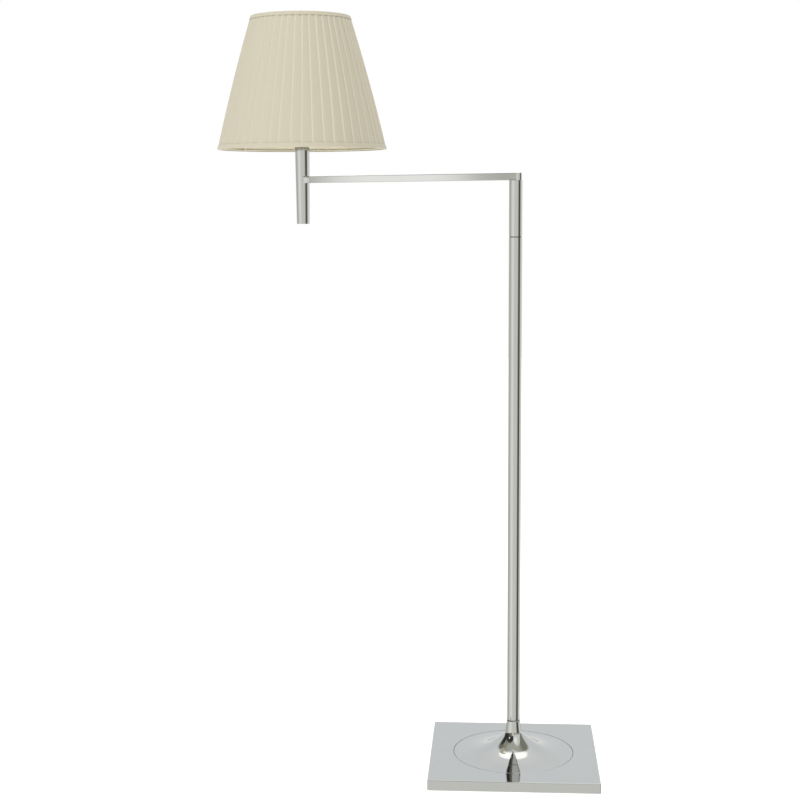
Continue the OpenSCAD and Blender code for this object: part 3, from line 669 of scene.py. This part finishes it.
# ---------------------------------------------------------------- light
def studio():
    """White surroundings for the eye and for soft light. The chrome sees the room around a studio: a white backdrop behind
    the lamp and under it, a dark room behind the camera with a bright opening on the right, and a soft box overhead."""
    world = bpy.data.worlds.new("studio")
    bpy.context.scene.world = world
    world.use_nodes = True
    nt = world.node_tree
    nt.nodes.clear()
    out = add(nt, "ShaderNodeOutputWorld")
    bg = add(nt, "ShaderNodeBackground")
    nt.links.new(bg.outputs[0], out.inputs[0])
    d = add(nt, "ShaderNodeSeparateXYZ", {"Vector": add(nt, "ShaderNodeTexCoord").outputs["Generated"]})
    x, y, z = d.outputs[0], d.outputs[1], d.outputs[2]
    ny = math_node(nt, "MULTIPLY", y, -1.0)
    deg = 180 / math.pi
    az = math_node(nt, "MULTIPLY", math_node(nt, "ARCTAN2", x, ny), deg)
    el = math_node(nt, "MULTIPLY", math_node(nt, "ARCSINE", z), deg)

    def between(s, a, b, sa, sb=None):
        sb = sa if sb is None else sb
        up = map_range(nt, s, a - sa, a + sa, 0, 1, True)
        down = map_range(nt, s, b - sb, b + sb, 1, 0, True)
        return math_node(nt, "MULTIPLY", up, down)

    def tone(v):
        """Dark parts of the room are a warm olive, bright ones white."""
        k = max(0.0, min(1.0, v))
        return (v * (0.97 + 0.03 * k), v, v * (0.74 + 0.24 * k), 1.0)

    def ramp(s, a, b, stops):
        r = nt.nodes.new("ShaderNodeValToRGB")
        r.color_ramp.interpolation = "LINEAR"
        els = r.color_ramp.elements
        while len(els) > 1:
            els.remove(els[-1])
        for i, (p, v) in enumerate(stops):
            e = els[0] if i == 0 else els.new((p - a) / (b - a))
            e.position = (p - a) / (b - a)
            e.color = tone(v)
        nt.links.new(map_range(nt, s, a, b, 0, 1), r.inputs[0])
        return r.outputs[0]

    # where a ray meets a ceiling one unit up, for what hangs overhead
    zc = math_node(nt, "MAXIMUM", z, 0.02)
    cx, cy = math_node(nt, "DIVIDE", x, zc), math_node(nt, "DIVIDE", y, zc)
    ax = math_node(nt, "ABSOLUTE", cx)

    def spot(px, py, rx, ry, soft):
        """1 inside an ellipse on the ceiling, 0 outside."""
        dx = math_node(nt, "DIVIDE", math_node(nt, "SUBTRACT", cx, px), rx)
        dy = math_node(nt, "DIVIDE", math_node(nt, "SUBTRACT", cy, py), ry)
        r = math_node(nt, "SQRT", math_node(nt, "ADD", math_node(nt, "MULTIPLY", dx, dx), math_node(nt, "MULTIPLY", dy, dy)))
        return math_node(nt, "MULTIPLY", map_range(nt, r, 1 - soft, 1 + soft, 1, 0, True), map_range(nt, z, 0.1, 0.2, 0, 1))

    # white backdrop behind the lamp, a little brighter higher up
    r = nt.nodes.new("ShaderNodeValToRGB")
    els = r.color_ramp.elements
    for e, (p, c) in zip((els[0], els[1], els.new(0.5)), ((0.0, (0.855, 0.885, 0.900, 1)), (1.0, (1.0, 1.0, 0.985, 1)), (0.36, (0.875, 0.895, 0.900, 1)))):
        e.position = p
        e.color = c
    nt.links.new(map_range(nt, el, 18, 56, 0, 1), r.inputs[0])
    col = r.outputs[0]
    # dark room in front, with a ceiling panel that fades sideways
    panel = ramp(ax, 0, 1.6, [(0, 0.58), (0.25, 0.58), (0.35, 0.47), (0.45, 0.36), (0.55, 0.27), (0.65, 0.22), (0.8, 0.19), (1.2, 0.08), (1.6, 0.05)])
    edge = math_node(nt, "SUBTRACT", cy, math_node(nt, "MULTIPLY_ADD", ax, 0.42, -0.145))
    edge = math_node(nt, "SUBTRACT", edge, math_node(nt, "MULTIPLY", math_node(nt, "MAXIMUM", math_node(nt, "SUBTRACT", ax, 0.5), 0.0), 1.2))
    room = mix_color(nt, map_range(nt, edge, -0.02, 0.025, 0, 1, True), tone(0.05), panel)
    # pale wall on the left of the opening
    m = math_node(nt, "MULTIPLY", map_range(nt, az, -80, -25, 0, 1, True), map_range(nt, el, 58, 72, 1, 0, True))
    room = mix_color(nt, m, room, tone(0.30))
    m = math_node(nt, "MULTIPLY", between(az, -16, 1.0, 3, 1.2), map_range(nt, el, 48, 60, 1, 0, True))
    room = mix_color(nt, m, room, tone(0.95))
    # bright opening on the right
    m = math_node(nt, "MULTIPLY", map_range(nt, math_node(nt, "MULTIPLY_ADD", cx, -0.42, cy), -0.135, -0.105, 1, 0, True),
                  math_node(nt, "MULTIPLY", between(az, 1.0, 103, 1.2, 4), map_range(nt, el, 17, 30, 0.32, 1, True)))
    room = mix_color(nt, m, room, tone(0.93))
    m = math_node(nt, "MULTIPLY", spot(0.22, -0.15, 0.15, 0.10, 0.5), map_range(nt, math_node(nt, "MULTIPLY_ADD", cx, -0.42, cy), -0.135, -0.105, 1, 0, True))
    room = mix_color(nt, m, room, tone(1.3))
    # two small lamps on the left
    room = mix_color(nt, spot(-0.43, -0.105, 0.075, 0.045, 0.4), room, tone(1.9))
    room = mix_color(nt, spot(-0.56, 0.165, 0.05, 0.035, 0.4), room, tone(0.5))
    col = mix_color(nt, between(az, -126, 126, 5), col, room)
    # soft box overhead
    col = mix_color(nt, spot(0.0, 0.40, 0.42, 0.24, 0.2), col, tone(1.75))
    # floor and low walls, all the way round
    low = ramp(az, -180, 180, [(-180, 0.90), (-150, 0.94), (-132, 0.76), (-122, 0.68), (-90, 0.68), (-81, 0.73), (-75, 0.80), (-66, 0.92),
                               (-56, 1.10), (-48, 1.17), (-35, 1.12), (-25, 0.97), (-13, 0.91), (0, 0.875), (20, 0.89), (34, 0.87), (42, 0.76),
                               (49, 0.42), (55, 0.19), (60, 0.08), (73, 0.09), (81, 0.24), (88, 0.47), (95, 0.78), (104, 1.0), (140, 1.0), (180, 0.90)])
    # a narrow bright door on the left, which the arm's flat side faces
    door = ramp(az, -78.4, -68.8, [(-78.4, 0.62), (-77.5, 0.62), (-76.9, 0.88), (-76.3, 1.14), (-75.6, 1.29), (-75, 1.34), (-72.5, 1.34),
                                   (-71.6, 1.15), (-71, 0.85), (-70.2, 0.66), (-68.8, 0.66)])
    low = mix_color(nt, between(az, -78.2, -69.2, 0.2), low, door)
    col = mix_color(nt, map_range(nt, el, 1.6, 4.0, 1, 0, True), col, low)

    path = add(nt, "ShaderNodeLightPath")
    soft = mix_color(nt, path.outputs["Is Camera Ray"], (AMBIENT[0], AMBIENT[1], AMBIENT[2], 1), (1.0, 1.0, 1.0, 1))
    nt.links.new(mix_color(nt, path.outputs["Is Glossy Ray"], soft, col), bg.inputs["Color"])
    bg.inputs["Strength"].default_value = 1.0


AMBIENT = (0.835, 0.82, 0.765)


def area(name, pos, aim, size, watts, color):
    data = bpy.data.lights.new(name, "AREA")
    data.shape = "RECTANGLE"
    data.size, data.size_y = size
    data.energy = watts
    data.color = color
    ob = bpy.data.objects.new(name, data)
    ob.location = pos
    ob.rotation_euler = (Vector(aim) - Vector(pos)).to_track_quat("-Z", "Y").to_euler()
    ob.visible_glossy = False
    ob.visible_camera = False
    bpy.context.scene.collection.objects.link(ob)


studio()
area("overhead", (0.0, -0.3, 3.3), (0.0, 0.1, 0.0), (3.2, 3.2), 30, (1.0, 1.0, 1.0))
area("key_left", (-2.6, -2.3, 1.9), (-0.35, 0.2, 1.15), (1.6, 2.0), 34, (0.97, 1.0, 1.03))

# ---------------------------------------------------------------- camera
yaw, pitch, roll = 0.067803, 0.132880, -0.0055466
f0 = Vector((-math.sin(yaw), math.cos(yaw), 0))
r0 = Vector((math.cos(yaw), math.sin(yaw), 0))
u0 = Vector((0, 0, 1))
fwd = f0 * math.cos(pitch) - u0 * math.sin(pitch)
up = u0 * math.cos(pitch) + f0 * math.sin(pitch)
right2 = r0 * math.cos(roll) + up * math.sin(roll)
up2 = up * math.cos(roll) - r0 * math.sin(roll)
cam_data = bpy.data.cameras.new("camera")
cam_data.sensor_width = 36.0
cam_data.lens = 36.0 * 1518.92 / 800.0
cam = bpy.data.objects.new("camera", cam_data)
cam.matrix_world = Matrix((
    (right2.x, up2.x, -fwd.x, CAM.x),
    (right2.y, up2.y, -fwd.y, CAM.y),
    (right2.z, up2.z, -fwd.z, CAM.z),
    (0, 0, 0, 1)))
bpy.context.scene.collection.objects.link(cam)
bpy.context.scene.camera = cam
bpy.context.scene.view_settings.view_transform = "Standard"
bpy.context.scene.view_settings.look = "None"

bpy.context.view_layer.update()
